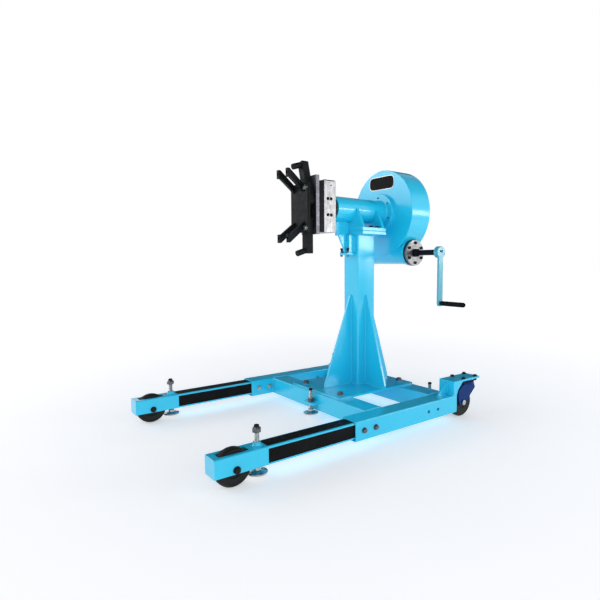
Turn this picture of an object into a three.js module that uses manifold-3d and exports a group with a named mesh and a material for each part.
// Heavy-duty engine stand: an H-shaped base on wheels, a square column, and a
// crank-driven worm gearbox that turns a mounting head about a level spindle.
// Units are millimetres and +Z is up. X runs across the base, Y along the spindle
// (the engine hangs on the -Y side), and the column stands on X = 0, Y = 0.
import * as THREE from 'three';
import { mergeVertices } from 'three/addons/utils/BufferGeometryUtils.js';
import Module from 'manifold-3d';

const wasm = await Module();
wasm.setup();

// ---------------------------------------------------------------- driving dimensions
const GAP = 0.3;                     // air left between parts that touch
const EPS = 1;                       // how far a cutting tool runs past a face

// base frame
const TRACK = 849;                   // width over the two rails
const RAIL = { w: 80, h: 75, wall: 4, front: -376, rear: 186, bottom: 36 };
const RAIL_X = (TRACK - RAIL.w) / 2; // centre line of each rail
const RAIL_TOP = RAIL.bottom + RAIL.h;
const CROSS_W = 88;                  // width of both crossmembers
const CROSS_FRONT_Y = -263;          // front face of the front crossmember
const BOLT_PAIR = 56;                // pitch of the two leg bolts
const LEG_TRAVEL = 345;              // from fully out to fully in
const LEG_BOLT_Y = -336;             // front bolt with the leg out
const LEG_BOLT_Z = 73;

// telescopic legs
const LEG = { w: 68, h: 60, wall: 4, front: -900, rear: -240, bottom: 46, cap: 5 };
const LEG_TOP = LEG.bottom + LEG.h;
const STRIP = { start: -723, end: -262, depth: 1.2, edge: 7 };
const WHEEL = { r: 60, w: 34, y: -830, bore: 6.5 };
const AXLE_R = 6;
const AXLE_REACH = LEG.w / 2 + GAP + 10; // from the leg's centre to the end of the axle bolt

// levelling feet
const FOOT = { rod: 8, pad: 33, padT: 6, cone: 12, socket: 11, socketTop: 23, nut: 15, nutT: 14 };
const LEG_FOOT_LIFT = 16;            // air under a raised pad
const FRAME_FOOT_LIFT = 22;
const LEG_FOOT_Y = -745;
const LEG_FOOT_TOP = 172;
const FRAME_FOOT_TOP = 132;
const LEG_NUT_Z = 149;
const FRONT_FOOT_X = 6;
const REAR_FOOT_X = 258;
const FOOT_OUT = 16;                 // rod centre beyond a crossmember's face
const TAB = { w: 70, reach: 34, bottom: 66, t: 9 };

// rear casters
const CASTER = { y: 294, trail: 40, r: 62.5, w: 30, forkGap: 35, plate: 4, headTop: 162 };
const BRACKET = { front: 165, rear: 342, t: 8, bottom: 163, boltY: [-54, 28] };
const BRACKET_TOP = BRACKET.bottom + BRACKET.t;

// column
const FOOT_PLATE = { x: 174, front: -255, rear: 180, t: 8 };
const FOOT_PLATE_TOP = RAIL_TOP + GAP + FOOT_PLATE.t;
const COLUMN = { w: 100, wall: 6, top: 796 };
const GUSSET = { top: 526, t: 10, lip: 12, front: 150, other: 128 };
const SADDLE = { x: 99, front: -65, rear: 76, t: 15 };
const CRADLE_T = 12;
const CRADLE_REAR_Y = 50;

// spindle and gearbox
const SPINDLE_Z = 905;
const TUBE = { r: 54, bore: 44, front: -160, flangeR: 86, flangeT: 19 };
const DRUM = { r: 196, wall: 6, front: 141, rear: 250.5, cover: 7 };
const SHAFT_R = 30;
const MODULE = 5;
const TEETH = 60;
const WHEEL_PITCH_R = MODULE * TEETH / 2;
const WORM_PITCH_R = 38;
const WORM_Y = 198;
const WORM_Z = SPINDLE_Z - WHEEL_PITCH_R - WORM_PITCH_R;
const LEAD = Math.PI * MODULE;
const WORM_CASE = { r: 52, bore: 46, blind: -146, open: 150, rimR: 58, rim: 28 };
const CAP = { t: 11.7, boltR: 45 };

// crank
const CRANK = {
  x: 304, r: 222, armW: 24, tipW: 28, t: 12, boss: 26, bossIn: 11, grip: 10.5, gripEnd: 445,
};

// mounting head
const HEAD = { x: 55, half: 106.5, rear: -177, block: 30.5 };
const SLIDE = { t: 23.5, top: 1008, bottom: 798 };
const PLATE = { top: 1030, bottom: 789.5, t: 17 };
const BAR = { w: 33, t: 32 };
const FACE_PLATE = { x0: -58, x1: 64, bottom: 795, top: 992, t: 13 };
const UPPER_PIVOT = new THREE.Vector2(30, 925);
const LOWER_PIVOT = new THREE.Vector2(18, 850);
const UPPER_LEAN = THREE.MathUtils.degToRad(15);
const UPPER_ARM = 166;               // pin to the end of each bar
const LOWER_ARM = 140;
const BRACKET_Z = SPINDLE_Z - 7;
const STRUT = { x: 34, reach: 406 };
const STUD = { r: 12, length: 50, tilt: THREE.MathUtils.degToRad(18) };

// ---------------------------------------------------------------- materials
function paint(color, roughness, metalness) {
  return () => new THREE.MeshStandardMaterial({ color, roughness, metalness });
}
const blue = paint(0x37b6e6, 0.28, 0.1);
const turquoise = paint(0x62c8de, 0.35, 0.1);
const navy = paint(0x17357f, 0.35, 0.3);
const silver = paint(0xc9cdcb, 0.35, 0.9);
const greyMetal = paint(0x8d8f92, 0.45, 0.8);
const blackMetal = paint(0x1b1c22, 0.45, 0.6);
const charcoal = paint(0x2a2f33, 0.6, 0.4);
const chrome = paint(0xd9dcde, 0.12, 1.0);
const zinc = paint(0xb4b8b6, 0.3, 0.9);
const bronze = paint(0xb08850, 0.4, 0.9);
const rubber = paint(0x1c1c1c, 0.85, 0.0);
const plasticBlack = paint(0x202122, 0.6, 0.0);

// ---------------------------------------------------------------- solid helpers
function solid(geometry) {
  const bare = geometry.clone();
  bare.deleteAttribute('normal');
  bare.deleteAttribute('uv');
  const merged = mergeVertices(bare, 1e-4);
  return new wasm.Manifold(new wasm.Mesh({
    numProp: 3,
    vertProperties: new Float32Array(merged.attributes.position.array),
    triVerts: new Uint32Array(merged.index.array),
  }));
}

function geometryOf(manifold) {
  const mesh = manifold.getMesh();
  const geometry = new THREE.BufferGeometry();
  geometry.setAttribute('position', new THREE.BufferAttribute(mesh.vertProperties, 3));
  geometry.setIndex(new THREE.BufferAttribute(mesh.triVerts, 1));
  geometry.computeVertexNormals();
  return geometry;
}

// adds every geometry of `plus` together, then takes every one of `minus` away
function shape(plus, minus = []) {
  let body = solid(plus[0]);
  for (const extra of plus.slice(1)) body = body.add(solid(extra));
  for (const tool of minus) body = body.subtract(solid(tool));
  return geometryOf(body);
}

// a box given by its low and high corner
function block(x0, x1, y0, y1, z0, z1) {
  const geometry = new THREE.BoxGeometry(x1 - x0, y1 - y0, z1 - z0);
  return geometry.translate((x0 + x1) / 2, (y0 + y1) / 2, (z0 + z1) / 2);
}

// cylinders along each axis, from a to b
function rodX(r, a, b, y, z, sides = 24) {
  const geometry = new THREE.CylinderGeometry(r, r, b - a, sides).rotateZ(Math.PI / 2);
  return geometry.translate((a + b) / 2, y, z);
}

function rodY(r, a, b, x, z, sides = 24) {
  return new THREE.CylinderGeometry(r, r, b - a, sides).translate(x, (a + b) / 2, z);
}

function rodZ(r, a, b, x, y, sides = 24) {
  const geometry = new THREE.CylinderGeometry(r, r, b - a, sides).rotateX(Math.PI / 2);
  return geometry.translate(x, y, (a + b) / 2);
}

// a ring turned about the Y axis from [radius, y] corners, closed on itself
function turned(corners, segments = 32) {
  const points = corners.map(([r, y]) => new THREE.Vector2(r, y));
  points.push(points[0].clone());
  return new THREE.LatheGeometry(points, segments);
}

function washer(inner, outer, a, b, segments = 24) {
  return turned([[inner, a], [outer, a], [outer, b], [inner, b]], segments);
}

function outline(points) {
  return new THREE.Shape(points.map(([u, v]) => new THREE.Vector2(u, v)));
}

function slab(shape2d, depth, steps = 1, curveSegments = 16) {
  return new THREE.ExtrudeGeometry(shape2d, { depth, steps, curveSegments, bevelEnabled: false });
}

// plates cut in the XZ plane (facing -Y) and in the YZ plane (facing +X)
function plateXZ(shape2d, y0, y1) {
  return slab(shape2d, y1 - y0).rotateX(Math.PI / 2).translate(0, y1, 0);
}

function plateYZ(shape2d, x0, x1) {
  const geometry = slab(shape2d, x1 - x0);
  const swap = new THREE.Matrix4().makeBasis(
    new THREE.Vector3(0, 1, 0), new THREE.Vector3(0, 0, 1), new THREE.Vector3(1, 0, 0));
  return geometry.applyMatrix4(swap).translate(x0, 0, 0);
}

// a square tube along Y, open at both ends
function boxTubeY(w, h, wall, y0, y1, x, z0) {
  const outer = block(x - w / 2, x + w / 2, y0, y1, z0, z0 + h);
  const inner = block(x - w / 2 + wall, x + w / 2 - wall, y0 - EPS, y1 + EPS,
    z0 + wall, z0 + h - wall);
  return { outer, inner };
}

const stand = new THREE.Group();

function add(parent, name, geometry, material) {
  const mesh = new THREE.Mesh(geometry, material());
  mesh.name = name;
  parent.add(mesh);
  return mesh;
}

function sideGroup(side) {
  const group = new THREE.Group();
  group.position.x = side.sign * RAIL_X;
  stand.add(group);
  return group;
}

const SIDES = [{ word: 'right', sign: 1 }, { word: 'left', sign: -1 }];

// ---------------------------------------------------------------- base frame
// Both rails are the same part: its bolt holes go right through both sides.
function railGeometry() {
  const tube = boxTubeY(RAIL.w, RAIL.h, RAIL.wall, RAIL.front, RAIL.rear, 0, RAIL.bottom);
  const holes = [];
  for (const row of [0, LEG_TRAVEL]) {
    for (const step of [0, BOLT_PAIR]) {
      holes.push(rodX(6.5, -RAIL.w, RAIL.w, LEG_BOLT_Y + row + step, LEG_BOLT_Z, 8));
    }
  }
  return shape([tube.outer], [tube.inner, ...holes]);
}

function crossmember(y0, tabs) {
  const half = RAIL_X - RAIL.w / 2 - GAP;
  const outer = block(-half, half, y0, y0 + CROSS_W, RAIL.bottom, RAIL_TOP);
  const inner = block(-half - EPS, half + EPS, y0 + RAIL.wall, y0 + CROSS_W - RAIL.wall,
    RAIL.bottom + RAIL.wall, RAIL_TOP - RAIL.wall);
  return shape([outer, ...tabs.flatMap((tab) => tab.solids)], [inner, ...tabs.map((tab) => tab.hole)]);
}

// welded tab and nut that carry a levelling foot beside a crossmember's face
function footTab(x, face, direction) {
  const y0 = Math.min(face - direction, face + direction * TAB.reach);
  const y1 = Math.max(face - direction, face + direction * TAB.reach);
  const rodY0 = face + direction * FOOT_OUT;
  const tabTop = TAB.bottom + TAB.t;
  const nutTop = tabTop + FOOT.nutT;
  return {
    solids: [
      block(x - TAB.w / 2, x + TAB.w / 2, y0, y1, TAB.bottom, tabTop),
      rodZ(FOOT.nut, tabTop - EPS, nutTop, x, rodY0, 6),
    ],
    hole: rodZ(FOOT.rod + 0.6, TAB.bottom - EPS, nutTop + EPS, x, rodY0, 16),
  };
}

function baseFrame() {
  for (const side of SIDES) {
    add(sideGroup(side), `rail_${side.word}`, railGeometry(), blue);
  }
  add(stand, 'front_crossmember', crossmember(CROSS_FRONT_Y, [footTab(FRONT_FOOT_X, CROSS_FRONT_Y, -1)]), blue);
  const rearTabs = [footTab(REAR_FOOT_X, RAIL.rear, 1), footTab(-REAR_FOOT_X, RAIL.rear, 1)];
  add(stand, 'rear_crossmember', crossmember(RAIL.rear - CROSS_W, rearTabs), blue);
}

// ---------------------------------------------------------------- telescopic legs
// The leg is a tube with a closed nose, a slot for its wheel and a threaded boss for
// its foot. Two shallow recesses hold the black slide strips flush with its skin.
function legGeometry() {
  const tube = boxTubeY(LEG.w, LEG.h, LEG.wall, LEG.front, LEG.rear, 0, LEG.bottom);
  const inner = block(-LEG.w / 2 + LEG.wall, LEG.w / 2 - LEG.wall, LEG.front + LEG.cap,
    LEG.rear + EPS, LEG.bottom + LEG.wall, LEG_TOP - LEG.wall);
  const slotW = WHEEL.w / 2 + 3;
  const boss = rodZ(12.5, LEG_TOP - EPS, LEG_TOP + 12, 0, LEG_FOOT_Y, 16);
  const cuts = [
    inner,
    block(-slotW, slotW, WHEEL.y - 50, WHEEL.y + 50, LEG_TOP - 2 * LEG.wall, LEG_TOP + EPS),
    block(-slotW, slotW, WHEEL.y - 63.5, WHEEL.y + 63.5, LEG.bottom - EPS, LEG.bottom + 2 * LEG.wall),
    rodX(AXLE_R + GAP, -LEG.w, LEG.w, WHEEL.y, WHEEL.r, 12),
    rodZ(FOOT.rod + 0.6, LEG.bottom - EPS, LEG_TOP + 20, 0, LEG_FOOT_Y, 12),
    block(-LEG.w / 2 + STRIP.edge, LEG.w / 2 - STRIP.edge, STRIP.start, STRIP.end,
      LEG_TOP - STRIP.depth, LEG_TOP + EPS),
    block(LEG.w / 2 - STRIP.depth, LEG.w / 2 + EPS, STRIP.start, STRIP.end,
      LEG.bottom + STRIP.edge, LEG_TOP - STRIP.edge),
  ];
  for (const step of [0, BOLT_PAIR]) {
    cuts.push(rodX(6.5, -LEG.w, LEG.w, LEG_BOLT_Y + step, LEG_BOLT_Z, 8));
  }
  return shape([tube.outer, boss], cuts);
}

function stripHoles() {
  return [0, BOLT_PAIR].map((step) => rodX(7, 0, LEG.w, LEG_BOLT_Y + step, LEG_BOLT_Z, 8));
}

function slideStrips(group, word) {
  const y0 = STRIP.start + GAP;
  const y1 = STRIP.end - GAP;
  const side = STRIP.edge + GAP;
  const top = block(-LEG.w / 2 + side, LEG.w / 2 - side, y0, y1,
    LEG_TOP - STRIP.depth + GAP, LEG_TOP);
  const flank = block(LEG.w / 2 - STRIP.depth + GAP, LEG.w / 2, y0, y1,
    LEG.bottom + side, LEG_TOP - side);
  add(group, `slide_strip_top_${word}`, top, plasticBlack);
  add(group, `slide_strip_side_${word}`, shape([flank], stripHoles()), plasticBlack);
}

// solid rubber tyre on a hub; turned about Y, then laid along X
function wheelGeometry(r, w, bore) {
  const half = w / 2;
  const profile = [
    [bore, -half + 1], [bore + 10, -half + 1], [r - 18, -half + 5], [r - 16, -half], [r - 5, -half],
    [r, -half + 6], [r, half - 6], [r - 5, half], [r - 16, half], [r - 18, half - 5],
    [bore + 10, half - 1], [bore, half - 1],
  ];
  return turned(profile, 24).rotateZ(Math.PI / 2);
}

function axleBolt() {
  const head = LEG.w / 2 + GAP;
  return shape([
    rodX(AXLE_R, -AXLE_REACH, head + 4, 0, 0, 12),
    rodX(10.5, head, head + 8, 0, 0, 6),
    rodX(10.5, -AXLE_REACH, -head, 0, 0, 6),
  ]);
}

function legs() {
  for (const side of SIDES) {
    const group = sideGroup(side);
    add(group, `leg_${side.word}`, legGeometry(), blue);
    slideStrips(group, side.word);
    const wheel = add(group, `front_wheel_${side.word}`,
      wheelGeometry(WHEEL.r, WHEEL.w, WHEEL.bore), rubber);
    wheel.position.set(0, WHEEL.y, WHEEL.r);
    const axle = add(group, `front_axle_${side.word}`, axleBolt(), blackMetal);
    axle.position.copy(wheel.position);
  }
}

// ---------------------------------------------------------------- levelling feet
// threaded rod on its pad, with air under the pad
function footBody(lift, top) {
  const cone = lift + FOOT.cone;
  const socketTop = lift + FOOT.socketTop;
  const corners = [
    [0, lift], [FOOT.pad, lift], [FOOT.pad, lift + FOOT.padT], [FOOT.socket + 5, cone],
    [FOOT.socket, cone], [FOOT.socket, socketTop], [FOOT.rod, socketTop],
    [FOOT.rod, top - 2], [FOOT.rod - 2, top], [0, top],
  ];
  const points = corners.map(([r, z]) => new THREE.Vector2(r, z));
  return new THREE.LatheGeometry(points, 12).rotateX(Math.PI / 2);
}

function frameFoot(name, x, y) {
  const foot = add(stand, name, footBody(FRAME_FOOT_LIFT, FRAME_FOOT_TOP), zinc);
  foot.position.set(x, y, 0);
}

// a leg's foot carries its jam nut with it
function levellingFeet() {
  for (const side of SIDES) {
    const nut = rodZ(FOOT.nut, LEG_NUT_Z, LEG_NUT_Z + FOOT.nutT, 0, 0, 6);
    const foot = add(sideGroup(side), `levelling_foot_leg_${side.word}`,
      shape([footBody(LEG_FOOT_LIFT, LEG_FOOT_TOP), nut]), zinc);
    foot.position.y = LEG_FOOT_Y;
    frameFoot(`levelling_foot_rear_${side.word}`, side.sign * REAR_FOOT_X, RAIL.rear + FOOT_OUT);
  }
  frameFoot('levelling_foot_front', FRONT_FOOT_X, CROSS_FRONT_Y - FOOT_OUT);
}

// ---------------------------------------------------------------- rear casters
function casterBracket() {
  const half = RAIL.w / 2;
  const low = RAIL_TOP + GAP;
  const cheek = outline([
    [BRACKET.front, low], [RAIL.rear, low], [193, 131], [226, BRACKET.bottom + 1],
    [BRACKET.front, BRACKET.bottom + 1],
  ]);
  const rib = outline([
    [BRACKET.front + 1, low], [BRACKET.front - 56, low], [BRACKET.front - 56, low + 5],
    [BRACKET.front - 6, BRACKET.bottom], [BRACKET.front + 1, BRACKET.bottom],
  ]);
  const holes = [];
  for (const x of [-30, 30]) {
    for (const y of BRACKET.boltY) {
      holes.push(rodZ(5.5, BRACKET.bottom - EPS, BRACKET_TOP + EPS, x, CASTER.y + y, 12));
    }
  }
  return shape([
    block(-half, half, BRACKET.front, BRACKET.rear, BRACKET.bottom, BRACKET_TOP),
    block(-half, half, BRACKET.front, BRACKET.front + 8, low, BRACKET.bottom + 1),
    plateYZ(cheek, half - 6, half),
    plateYZ(cheek, -half, -half + 6),
    plateYZ(rib, -4, 4),
  ], holes);
}

// swivel head, two cheeks and the wheel's axle; the swivel axis is at Y = 0
function casterFork() {
  const inside = CASTER.forkGap / 2;
  const outside = inside + CASTER.plate;
  const crown = 140;
  const cheek = outline([
    [-34, crown], [34, crown], [42, 118], [4, 84], [-CASTER.trail + 17, 56],
    [-CASTER.trail + 10, 47], [-CASTER.trail - 10, 47], [-CASTER.trail - 24, 58],
    [-CASTER.trail - 33, 84], [-CASTER.trail - 33, 118],
  ]);
  return shape([
    block(-outside, outside, -34, 34, crown - 5, crown + EPS),
    plateYZ(cheek, inside, outside),
    plateYZ(cheek, -outside, -inside),
    rodZ(37, crown, 150, 0, 0, 24),
    rodZ(31, 149, CASTER.headTop, 0, 0, 24),
    rodX(AXLE_R, -outside - 8, outside + 4, -CASTER.trail, CASTER.r, 12),
    rodX(10, outside - 1, outside + 5, -CASTER.trail, CASTER.r, 6),
    rodX(10, -outside - 7, -outside + 1, -CASTER.trail, CASTER.r, 6),
  ]);
}

function casters() {
  for (const side of SIDES) {
    const group = sideGroup(side);
    add(group, `caster_bracket_${side.word}`, casterBracket(), blue);
    const fork = add(group, `caster_fork_${side.word}`, casterFork(), navy);
    fork.position.y = CASTER.y;
    const wheel = add(group, `caster_wheel_${side.word}`,
      wheelGeometry(CASTER.r, CASTER.w, AXLE_R + 0.5), rubber);
    wheel.position.set(0, CASTER.y - CASTER.trail, CASTER.r);
  }
}

// ---------------------------------------------------------------- column
function footPlate() {
  const z0 = RAIL_TOP + GAP;
  const holes = [];
  for (const [x, y] of [[128, -212], [103, 160]]) {
    for (const sign of [-1, 1]) {
      holes.push(rodZ(7, z0 - EPS, FOOT_PLATE_TOP + EPS, sign * x, y, 12));
    }
  }
  const plate = block(-FOOT_PLATE.x, FOOT_PLATE.x, FOOT_PLATE.front, FOOT_PLATE.rear,
    z0, FOOT_PLATE_TOP);
  return shape([plate], holes);
}

function columnTube() {
  const half = COLUMN.w / 2;
  const core = half - COLUMN.wall;
  const z0 = FOOT_PLATE_TOP + GAP;
  return shape([block(-half, half, -half, half, z0, COLUMN.top)],
    [block(-core, core, -core, core, z0 - EPS, COLUMN.top + EPS)]);
}

// triangular web, drawn for the +X face and turned to the face it stands on
function gusset(reach) {
  const z0 = FOOT_PLATE_TOP + GAP;
  const root = COLUMN.w / 2 + GAP;
  const web = outline([
    [root, z0], [root + reach, z0], [root + reach, z0 + GUSSET.lip],
    [root + GUSSET.lip / 2, GUSSET.top], [root, GUSSET.top],
  ]);
  return plateXZ(web, -GUSSET.t / 2, GUSSET.t / 2);
}

function column() {
  add(stand, 'foot_plate', footPlate(), blue);
  add(stand, 'column', columnTube(), blue);
  const faces = [['right', 0], ['rear', 1], ['left', 2], ['front', 3]];
  for (const [word, turns] of faces) {
    const reach = word === 'front' ? GUSSET.front : GUSSET.other;
    const web = add(stand, `gusset_${word}`, gusset(reach), blue);
    web.rotation.z = turns * Math.PI / 2;
  }
}

// ---------------------------------------------------------------- saddle on the column
const TOP_PLATE_TOP = COLUMN.top + GAP + SADDLE.t;
const SADDLE_TOP = TOP_PLATE_TOP + GAP + SADDLE.t;

function cradle() {
  const rest = TUBE.r + GAP;
  const lip = THREE.MathUtils.degToRad(3);
  const web = new THREE.Shape();
  web.moveTo(-SADDLE.x, SADDLE_TOP + GAP);
  web.lineTo(SADDLE.x, SADDLE_TOP + GAP);
  web.lineTo(SADDLE.x, SADDLE_TOP + 4);
  web.lineTo(rest * Math.cos(lip) + 5, SPINDLE_Z + rest * Math.sin(lip));
  web.lineTo(rest * Math.cos(lip), SPINDLE_Z + rest * Math.sin(lip));
  web.absarc(0, SPINDLE_Z, rest, lip, Math.PI - lip, true);
  web.lineTo(-rest * Math.cos(lip) - 5, SPINDLE_Z + rest * Math.sin(lip));
  web.lineTo(-SADDLE.x, SADDLE_TOP + 4);
  return slab(web, CRADLE_T, 1, 20).rotateX(Math.PI / 2).translate(0, CRADLE_T, 0);
}

function saddle() {
  const plate = (z0) => block(-SADDLE.x, SADDLE.x, SADDLE.front, SADDLE.rear, z0, z0 + SADDLE.t);
  add(stand, 'column_top_plate', plate(COLUMN.top + GAP), blue);
  add(stand, 'saddle_plate', plate(TOP_PLATE_TOP + GAP), blue);
  add(stand, 'cradle_front', cradle(), blue).position.y = SADDLE.front;
  add(stand, 'cradle_rear', cradle(), blue).position.y = CRADLE_REAR_Y;
}

// Web under the nose of the spindle tube. It stands on a ledge whose thick back is
// welded to the column.
function noseSupport() {
  const ledgeTop = 715;
  const under = SPINDLE_Z - TUBE.r - 2 * GAP;
  const plateFace = SADDLE.front - GAP;
  const columnFace = -COLUMN.w / 2 - GAP;
  const blockFace = -80;
  const web = outline([
    [-136, under], [plateFace, under], [plateFace, COLUMN.top + GAP], [blockFace - GAP, COLUMN.top + GAP],
    [blockFace - GAP, ledgeTop + GAP], [blockFace - 4, ledgeTop + GAP], [-139, 825],
  ]);
  add(stand, 'nose_gusset', plateYZ(web, -5, 5), blue);
  const ledge = block(-28, 28, -92, columnFace, ledgeTop - 9, ledgeTop);
  const spacer = block(-25, 25, blockFace, columnFace, ledgeTop - EPS, COLUMN.top);
  add(stand, 'nose_ledge', shape([ledge, spacer]), blue);
}

// ---------------------------------------------------------------- spindle and gearbox
function atSpindle(name, geometry, material) {
  const mesh = add(stand, name, geometry, material);
  mesh.position.z = SPINDLE_Z;
  return mesh;
}

function spindleHousing() {
  const flangeY = DRUM.front - GAP - TUBE.flangeT;
  const rear = DRUM.front - GAP;
  atSpindle('spindle_housing', turned([
    [TUBE.bore, TUBE.front], [TUBE.r, TUBE.front], [TUBE.r, flangeY], [TUBE.flangeR, flangeY],
    [TUBE.flangeR, rear], [TUBE.bore, rear],
  ], 32), blue);
  const race = TUBE.bore - GAP;
  const seat = SHAFT_R + GAP;
  atSpindle('spindle_bearing_front', washer(seat, race, -150, -120), zinc);
  atSpindle('spindle_bearing_rear', washer(seat, race, 96, 126), zinc);
  atSpindle('spindle_seal', washer(seat, race, TUBE.front, -151), rubber);
}

// drum and worm case are one casting: the drum opens to the rear, the case at both ends
function gearboxShell() {
  const inner = DRUM.r - DRUM.wall;
  const spindleHole = rodY(TUBE.bore, DRUM.front - EPS, DRUM.rear, 0, SPINDLE_Z, 32);
  const rimStart = WORM_CASE.open - WORM_CASE.rim;
  return shape([
    rodY(DRUM.r, DRUM.front, DRUM.rear, 0, SPINDLE_Z, 56),
    rodX(WORM_CASE.r, WORM_CASE.blind, WORM_CASE.open, WORM_Y, WORM_Z, 36),
    rodX(WORM_CASE.rimR, rimStart, WORM_CASE.open, WORM_Y, WORM_Z, 36),
  ], [
    rodY(inner, DRUM.front + 8, DRUM.rear + 60, 0, SPINDLE_Z, 40),
    rodX(WORM_CASE.bore, WORM_CASE.blind - EPS, WORM_CASE.open + EPS, WORM_Y, WORM_Z, 28),
    spindleHole,
  ]);
}

function gearboxCover() {
  const y0 = DRUM.rear + GAP;
  const y1 = y0 + DRUM.cover;
  const points = [[0, y1 + 10], [SHAFT_R + 1, y1 + 10], [SHAFT_R + 1, y0], [DRUM.r, y0],
    [DRUM.r, y1], [52, y1], [48, y1 + 15], [0, y1 + 15]];
  return new THREE.LatheGeometry(points.map(([r, y]) => new THREE.Vector2(r, y)), 40);
}

// straight-flanked teeth, thinned for backlash and slanted to the worm's lead
function wormWheel() {
  const width = 24;
  const tip = WHEEL_PITCH_R + 4.3;
  const root = WHEEL_PITCH_R - 6.2;
  const halfAngle = (mm) => mm / 2 / WHEEL_PITCH_R;
  const rim = [];
  for (let tooth = 0; tooth < TEETH; tooth += 1) {
    const middle = (tooth + 0.5) * 2 * Math.PI / TEETH - Math.PI / 2;
    const corners = [[root, -halfAngle(8.2)], [tip, -halfAngle(3.4)],
      [tip, halfAngle(3.4)], [root, halfAngle(8.2)]];
    for (const [radius, turn] of corners) {
      rim.push([radius * Math.cos(middle + turn), radius * Math.sin(middle + turn)]);
    }
  }
  const gear = slab(outline(rim), width).rotateX(Math.PI / 2).translate(0, width / 2, 0);
  const slant = LEAD / (2 * Math.PI * WORM_PITCH_R) / WHEEL_PITCH_R;
  twist(gear, 'y', slant);
  const hub = rodY(56, -20, 22, 0, 0, 24);
  const bore = rodY(SHAFT_R + 2 * GAP, -30, 30, 0, 0, 24);
  const windows = [];
  for (let i = 0; i < 6; i += 1) {
    const angle = i * Math.PI / 3;
    windows.push(rodY(26, -20, 20, 98 * Math.cos(angle), 98 * Math.sin(angle), 10));
  }
  return shape([gear, hub], [bore, ...windows]);
}

// turns each vertex about an axis by an angle that grows along it
function twist(geometry, axisName, radiansPerMm) {
  const axis = new THREE.Vector3(axisName === 'x' ? 1 : 0, axisName === 'y' ? 1 : 0, 0);
  const position = geometry.attributes.position;
  const point = new THREE.Vector3();
  for (let i = 0; i < position.count; i += 1) {
    point.fromBufferAttribute(position, i);
    point.applyAxisAngle(axis, radiansPerMm * point[axisName]);
    position.setXYZ(i, point.x, point.y, point.z);
  }
  return geometry;
}

// one-start thread: every cross-section is the same cam, turned once per lead
function wormThread() {
  const crest = WORM_PITCH_R + 4.3;
  const floor = WORM_PITCH_R - 5.8;
  const share = (mm) => mm / LEAD * 2 * Math.PI / 2;
  const sides = 16;
  const cam = [];
  for (let i = 0; i < sides; i += 1) {
    const turn = (i / sides) * 2 * Math.PI - Math.PI;
    const away = Math.abs(turn);
    const flank = THREE.MathUtils.clamp((share(8.4) - away) / (share(8.4) - share(3.6)), 0, 1);
    const radius = floor + (crest - floor) * flank;
    cam.push([radius * Math.cos(turn), radius * Math.sin(turn)]);
  }
  const length = 5 * LEAD;
  const along = new THREE.Matrix4().makeBasis(
    new THREE.Vector3(0, 0, 1), new THREE.Vector3(0, -1, 0), new THREE.Vector3(1, 0, 0));
  const thread = slab(outline(cam), length, 5 * 9).applyMatrix4(along).translate(-length / 2, 0, 0);
  return twist(thread, 'x', 2 * Math.PI / LEAD);
}

function wormShaft() {
  return shape([
    wormThread(),
    rodX(17, -99, 118, 0, 0, 20),
    rodX(11.5, 117, CRANK.x + CRANK.t + 3, 0, 0, 24),
    rodX(18, WORM_CASE.open + CAP.t + 2 * GAP, WORM_CASE.open + CAP.t + 16, 0, 0, 28),
  ]);
}

function capGeometry() {
  const x0 = WORM_CASE.open + GAP;
  const holes = [];
  for (let i = 0; i < 6; i += 1) {
    const angle = Math.PI / 2 + i * Math.PI / 3;
    const y = CAP.boltR * Math.cos(angle);
    const z = CAP.boltR * Math.sin(angle);
    holes.push(rodX(4.5, x0 - EPS, x0 + CAP.t + EPS, y, z, 10));
  }
  return shape([rodX(WORM_CASE.rimR, x0, x0 + CAP.t, 0, 0, 36)],
    [rodX(12.5, x0 - EPS, x0 + CAP.t + EPS, 0, 0, 24), ...holes]);
}

function bearingX(a, b) {
  return shape([rodX(WORM_CASE.bore - 2 * GAP, a, b, 0, 0, 24)], [rodX(17.6, a - EPS, b + EPS, 0, 0, 20)]);
}

function atWorm(name, geometry, material) {
  const mesh = add(stand, name, geometry, material);
  mesh.position.set(0, WORM_Y, WORM_Z);
  return mesh;
}

function gearbox() {
  add(stand, 'gearbox_shell', gearboxShell(), blue);
  atSpindle('gearbox_cover', gearboxCover(), blue);
  atWorm('worm_bearing_inner', bearingX(-98, -78), zinc);
  atWorm('worm_bearing_outer', bearingX(88, 108), zinc);
  atWorm('worm_end_cap', capGeometry(), silver);
  const blindEnd = WORM_CASE.blind - GAP;
  atWorm('worm_blind_cap', rodX(WORM_CASE.r, blindEnd - 7, blindEnd, 0, 0, 40), blue);
  atSpindle('worm_wheel', wormWheel(), bronze).position.y = WORM_Y;
}

function spindleShaft() {
  const front = HEAD.rear + GAP;
  const points = [[0, front], [50, front], [50, TUBE.front - 3], [SHAFT_R, TUBE.front - 3],
    [SHAFT_R, 262], [0, 262]];
  return new THREE.LatheGeometry(points.map(([r, y]) => new THREE.Vector2(r, y)), 32);
}

// ---------------------------------------------------------------- crank
function crankArm() {
  const web = new THREE.Shape();
  const tip = CRANK.tipW / 2;
  web.moveTo(-CRANK.armW / 2, -10);
  web.lineTo(-tip, -CRANK.r);
  web.absarc(0, -CRANK.r, tip, Math.PI, 2 * Math.PI, false);
  web.lineTo(CRANK.armW / 2, -10);
  const pinEnd = CRANK.gripEnd - 6;
  return shape([
    plateYZ(web, CRANK.x, CRANK.x + CRANK.t - 2),
    rodX(CRANK.boss, CRANK.x - CRANK.bossIn, CRANK.x + CRANK.t, 0, 0, 32),
    rodX(5, CRANK.x + 2, pinEnd, 0, -CRANK.r, 16),
  ], [rodX(12.1, CRANK.x - 2 * CRANK.bossIn, CRANK.x + CRANK.t + 2, 0, 0, 24)]);
}

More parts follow.
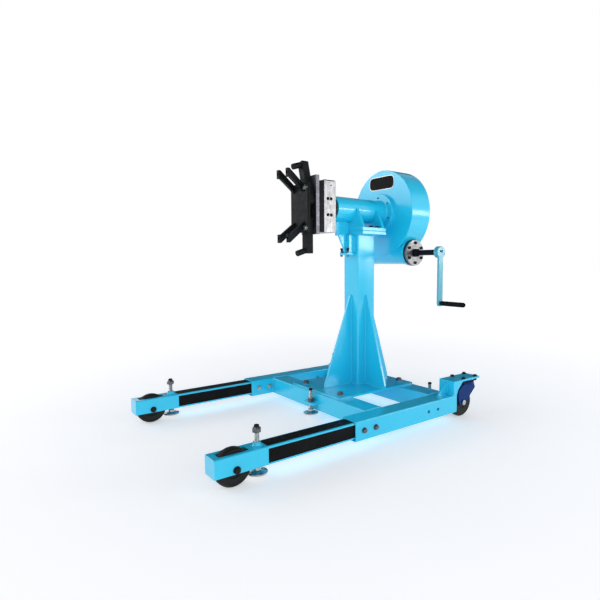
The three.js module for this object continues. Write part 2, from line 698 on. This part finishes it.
function gripGeometry() {
  const start = CRANK.x + CRANK.t + 2;
  const end = CRANK.gripEnd;
  const g = CRANK.grip;
  return turned([
    [5.5, start], [g - 1, start], [g, start + 4], [g, end - 5], [g - 2, end - 1],
    [5.5, end - 1],
  ], 20).rotateZ(-Math.PI / 2);
}

function crank() {
  atWorm('worm_shaft', wormShaft(), blackMetal);
  atWorm('crank_arm', crankArm(), turquoise);
  const grip = atWorm('crank_grip', gripGeometry(), plasticBlack);
  grip.position.z -= CRANK.r;
}

// ---------------------------------------------------------------- mounting head
// The guide carries a dovetail that the slide block rides up and down on.
function dovetail(front, sideGap, endGap) {
  const neck = 16 + sideGap;
  const wide = 22 + sideGap;
  const tongue = 6 + endGap;
  return [[-neck, front], [-wide, front - tongue], [wide, front - tongue], [neck, front]];
}

function headBlocks() {
  const middle = HEAD.rear - HEAD.block;
  const front = middle - HEAD.block;
  const z0 = SPINDLE_Z - HEAD.half;
  const z1 = SPINDLE_Z + HEAD.half;
  add(stand, 'head_base', block(-HEAD.x, HEAD.x, middle, HEAD.rear, z0, z1), silver);
  const guide = outline([[-HEAD.x, front], ...dovetail(front, 0, 0), [HEAD.x, front],
    [HEAD.x, middle - GAP], [-HEAD.x, middle - GAP]]);
  add(stand, 'head_guide', slab(guide, z1 - z0).translate(0, 0, z0), silver);

  const slideRear = front - GAP;
  const slideFront = slideRear - SLIDE.t;
  const groove = dovetail(slideRear, 1.4, 2 * GAP).reverse();
  const slide = outline([[-HEAD.x, slideFront], [HEAD.x, slideFront], [HEAD.x, slideRear],
    ...groove, [-HEAD.x, slideRear]]);
  const body = slab(slide, SLIDE.top - SLIDE.bottom).translate(0, 0, SLIDE.bottom);
  const screwHead = rodZ(8, SLIDE.top - 2, SLIDE.top + 13, 0, slideFront + 8 + GAP, 6);
  add(stand, 'head_slide_block', shape([body, screwHead]), blackMetal);
  const plateRear = slideFront - GAP;
  const plate = block(-HEAD.x, HEAD.x, plateRear - PLATE.t, plateRear, PLATE.bottom, PLATE.top);
  add(stand, 'mounting_plate', plate, greyMetal);
  return plateRear - PLATE.t;
}

// Two straight bars swing on pins between the mounting plate and the bracket's face.
function armOutline(length) {
  const half = BAR.w / 2;
  const web = new THREE.Shape();
  web.moveTo(half, length);
  web.lineTo(-half, length);
  web.lineTo(-half, 0);
  web.absarc(0, 0, half, Math.PI, 2 * Math.PI, false);
  return web;
}

function adapterArm(rear, length, studDrop) {
  const front = rear - BAR.t;
  const bar = plateXZ(armOutline(length), front, rear);
  const stud = new THREE.CylinderGeometry(STUD.r, STUD.r, STUD.length, 24);
  stud.translate(0, -STUD.length / 2 + 6, 0).rotateX(studDrop);
  stud.translate(0, front + 4, length - STUD.r);
  return shape([bar, stud], [rodY(8.4, front - EPS, rear + EPS, 0, 0, 20)]);
}

// diagonal strut from the bracket's face out to a drilled pad for the engine
function strutBar(sign, face) {
  const pad = -STRUT.reach;
  const web = outline([[face + 2, 58], [face + 2, 86], [pad + 9, 146], [pad, 146],
    [pad, 112], [pad + 12, 112]]);
  const bar = plateYZ(web, -8, 8);
  if (sign < 0) bar.rotateY(Math.PI);
  return bar;
}

function adapter(face) {
  const armRear = face - 2;
  const plateRear = armRear - BAR.t - 2;
  const plateFront = plateRear - FACE_PLATE.t;
  const struts = [];
  const holes = [];
  for (const x of [-STRUT.x, STRUT.x]) {
    for (const sign of [1, -1]) {
      struts.push(strutBar(sign, plateFront).translate(x, 0, BRACKET_Z));
      holes.push(rodY(6, -STRUT.reach - EPS, -STRUT.reach + 12, x, BRACKET_Z + sign * 129, 12));
    }
  }
  const pins = [UPPER_PIVOT, LOWER_PIVOT].map(
    (at) => rodY(8, plateRear - 2, face - GAP, at.x, at.y, 20));
  const bracket = shape([
    block(FACE_PLATE.x0, FACE_PLATE.x1, plateFront, plateRear, FACE_PLATE.bottom, FACE_PLATE.top),
    block(-50, -14, plateRear - 2, face - GAP, 826, 974),
    ...struts, ...pins,
  ], holes);
  add(stand, 'adapter_bracket', bracket, charcoal);

  const upper = add(stand, 'adapter_arm_upper', adapterArm(armRear, UPPER_ARM, STUD.tilt), charcoal);
  upper.position.set(UPPER_PIVOT.x, 0, UPPER_PIVOT.y);
  upper.rotation.y = -UPPER_LEAN;
  const lower = add(stand, 'adapter_arm_lower', adapterArm(armRear, LOWER_ARM, -STUD.tilt), charcoal);
  lower.position.set(LOWER_PIVOT.x, 0, LOWER_PIVOT.y);
  lower.rotation.y = Math.PI;
}

// ---------------------------------------------------------------- assembly
baseFrame();
legs();
levellingFeet();
casters();
column();
saddle();
noseSupport();
spindleHousing();
gearbox();
atSpindle('spindle', spindleShaft(), blackMetal);
crank();
adapter(headBlocks());

// The model's origin is the middle of its footprint, on the floor.
stand.position.x = -(CRANK.gripEnd - 1 - RAIL_X - AXLE_REACH) / 2;
stand.position.y = -(LEG.front + BRACKET.rear) / 2;

export default stand;
